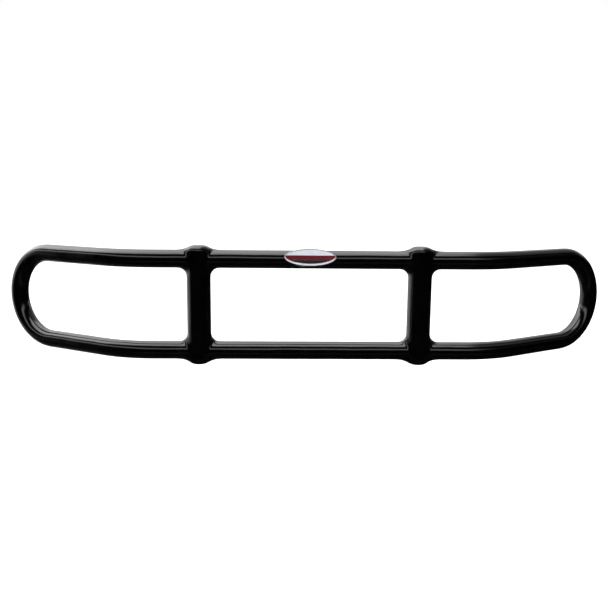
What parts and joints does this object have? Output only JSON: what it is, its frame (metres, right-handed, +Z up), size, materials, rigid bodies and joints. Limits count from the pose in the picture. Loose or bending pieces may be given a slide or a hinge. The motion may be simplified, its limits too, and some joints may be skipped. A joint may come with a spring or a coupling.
{
  "type": "front grille guard",
  "caption": "Wide tubular truck grille guard with a ladder-like centre, swept wings ending in round bows, an oval badge, and fold-down brackets behind its uprights.",
  "frame": {"origin": "centre of the four bracket bolts, on the truck's mounting plane, halfway up between the two rails", "axes": "+X along the rails, to the right of someone who faces the guard's front; the front faces -Y, so +Y points back into the truck; +Z up"},
  "size_m": [2.5314, 0.3757, 0.467],
  "materials": {
    "cover_black": "deep gloss moulded black, slightly wavy, with fine handling scratches",
    "core_steel": "plain welded steel tube",
    "bracket_black": "satin black powder coat, fine orange peel, worn edges",
    "zinc_steel": "zinc-plated, slightly clouded",
    "bush_bronze": "turned bronze",
    "knob_black": "fine-grained black moulded plastic",
    "black_rubber": "matt rubber",
    "badge_silver": "bright silver rim",
    "badge_white": "gloss white enamel",
    "badge_red": "gloss dark red enamel",
    "badge_black": "gloss black"
  },
  "bodies": {
    "truck_brackets": {"left_base_plate": "bracket_black", "left_pivot_cheeks": "bracket_black", "left_latch_cheeks": "bracket_black", "right_base_plate": "bracket_black", "right_pivot_cheeks": "bracket_black", "right_latch_cheeks": "bracket_black", "pivot_washers": "zinc_steel", "pivot_bolts": "zinc_steel", "pivot_nuts": "zinc_steel", "fold_stop_pins": "zinc_steel", "rest_buffers": "black_rubber", "latch_washers": "zinc_steel", "latch_studs": "zinc_steel"},
    "guard": {"moulded_cover": "cover_black", "top_rail_core": "core_steel", "bottom_rail_core": "core_steel", "left_bow_core": "core_steel", "right_bow_core": "core_steel", "splice_sleeves": "core_steel", "left_upright_core": "core_steel", "right_upright_core": "core_steel", "upright_caps": "core_steel", "left_pivot_arm": "bracket_black", "right_pivot_arm": "bracket_black", "left_latch_arm": "bracket_black", "right_latch_arm": "bracket_black", "pivot_bushes": "bush_bronze", "badge_pad": "badge_black", "badge_bezel": "badge_silver", "badge_face": "badge_white", "badge_band": "badge_red", "badge_inlay": "badge_black"},
    "left_knob": {"left_latch_knob": "knob_black", "left_knob_insert": "bush_bronze"},
    "right_knob": {"right_latch_knob": "knob_black", "right_knob_insert": "bush_bronze"}
  },
  "joints": [
    {"name": "guard_fold", "type": "hinge", "parent": "truck_brackets", "child": "guard", "pos_m": [0, -0.074, -0.185], "axis": [1, 0, 0], "range_deg": [0, 90]},
    {"name": "left_knob_turn", "type": "hinge", "parent": "truck_brackets", "child": "left_knob", "pos_m": [-0.432, -0.074, 0.172], "axis": [-1, 0, 0], "continuous": true},
    {"name": "right_knob_turn", "type": "hinge", "parent": "truck_brackets", "child": "right_knob", "pos_m": [0.432, -0.074, 0.172], "axis": [1, 0, 0], "continuous": true}
  ]
}
